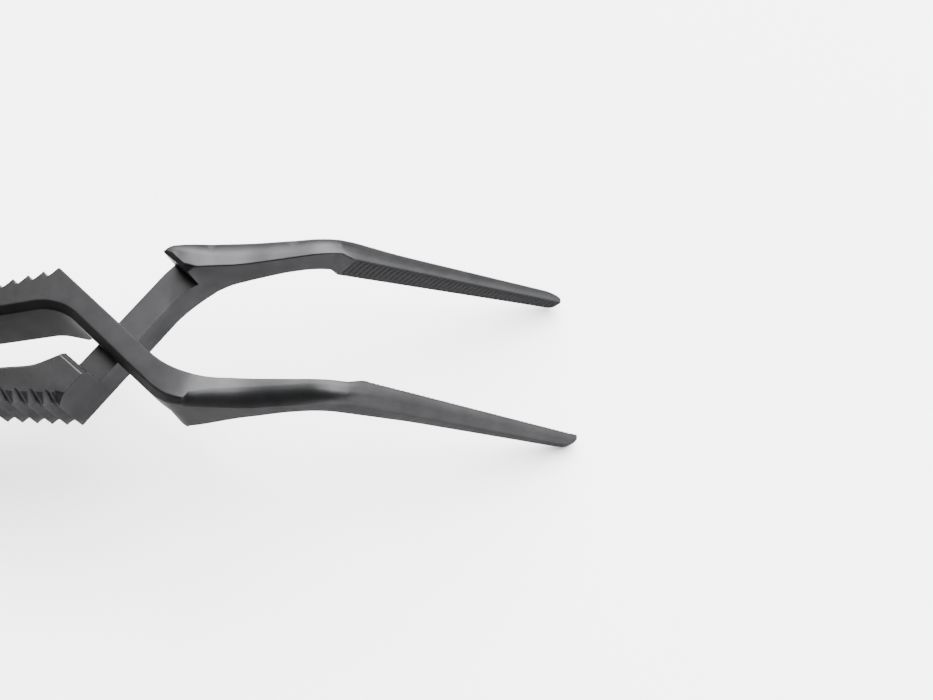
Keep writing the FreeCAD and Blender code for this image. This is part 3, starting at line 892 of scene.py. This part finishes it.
block = strip_piece(
    "tail_spacer", TAIL_X, TAIL_FRONT_X, -LEAF_INNER_Y, LEAF_INNER_Y, HALF_WIDTH, TAIL_CORNER, BLOCK_BEVEL, 12
)
finish_piece(block, TAIL_STEEL, "tail_steel", "tail_block")
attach(block, "tail")
tail_rivets = rivet_row(
    "tail_rivet_pair", TAIL_RIVET_X, TAIL_RIVET_PITCH, -LEAF_OUTER_Y, LEAF_OUTER_Y
)
finish_piece(tail_rivets, RIVET_STEEL, "rivet_steel", "tail_rivets")
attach(tail_rivets, "tail")


# ---------------------------------------------------------------- floor, lights and camera

def floor():
    """Plain pale floor under the tool."""
    bpy.ops.mesh.primitive_plane_add(size=6.0, location=(0, 0, 0))
    plane = bpy.context.object
    plane.name = "studio_floor"
    material = bpy.data.materials.new("pale_floor")
    material.use_nodes = True
    shader = material.node_tree.nodes["Principled BSDF"]
    shader.inputs["Base Color"].default_value = (0.93, 0.93, 0.93, 1)
    shader.inputs["Roughness"].default_value = 0.9
    shader.inputs["Specular IOR Level"].default_value = 0.1
    plane.data.materials.append(material)


LIGHT_TARGET = (10, 0, 0)
LIGHT_DISTANCE = 0.9

# soft lights: name, direction in the design frame, size in metres and power in watts
LIGHTS = [
    ("key", (0.42, 0.36, 0.83), (1.05, 0.9), 58),
    ("right", (0.93, 0.30, 0.20), (0.6, 0.35), 6),
    ("back", (-0.15, 0.97, 0.22), (0.8, 0.35), 8),
    ("upper", (-0.05, 0.80, 0.60), (0.8, 0.5), 15),
    ("low_right", (0.80, -0.58, 0.12), (1.15, 0.3), 7),
]


def softbox(name, direction, size, power):
    """Area light in a direction of the design frame, facing the leg of the arms."""
    target = seat(LIGHT_TARGET)
    away = turn(direction).normalized()
    light = bpy.data.lights.new(name, "AREA")
    light.shape = "RECTANGLE"
    light.size, light.size_y = size
    light.energy = power
    lamp = bpy.data.objects.new(name, light)
    lamp.location = target + away * LIGHT_DISTANCE
    lamp.rotation_euler = (-away).to_track_quat("-Z", "Y").to_euler()
    bpy.context.scene.collection.objects.link(lamp)


floor()
world = bpy.data.worlds.new("studio")
world.use_nodes = True
world.node_tree.nodes["Background"].inputs["Color"].default_value = (1, 1, 1, 1)
world.node_tree.nodes["Background"].inputs["Strength"].default_value = 0.35
bpy.context.scene.world = world
for light in LIGHTS:
    softbox(*light)

# The camera is held by its place and its own right and up directions in the design frame.
CAMERA_PLACE = (55.03, -52.91, 125.40)
CAMERA_RIGHT = (0.98610, -0.04496, -0.15997)
CAMERA_UP = (0.09892, 0.93239, 0.34767)
right = turn(CAMERA_RIGHT).normalized()
up = turn(CAMERA_UP).normalized()
lens = bpy.data.cameras.new("camera")
lens.sensor_width = 36.0
lens.lens = 58.98
lens.clip_start = 0.01
lens.clip_end = 20.0
camera = bpy.data.objects.new("camera", lens)
facing = Matrix((right, up, right.cross(up))).transposed().to_4x4()
camera.matrix_world = Matrix.Translation(seat(CAMERA_PLACE)) @ facing
bpy.context.scene.collection.objects.link(camera)
bpy.context.scene.camera = camera
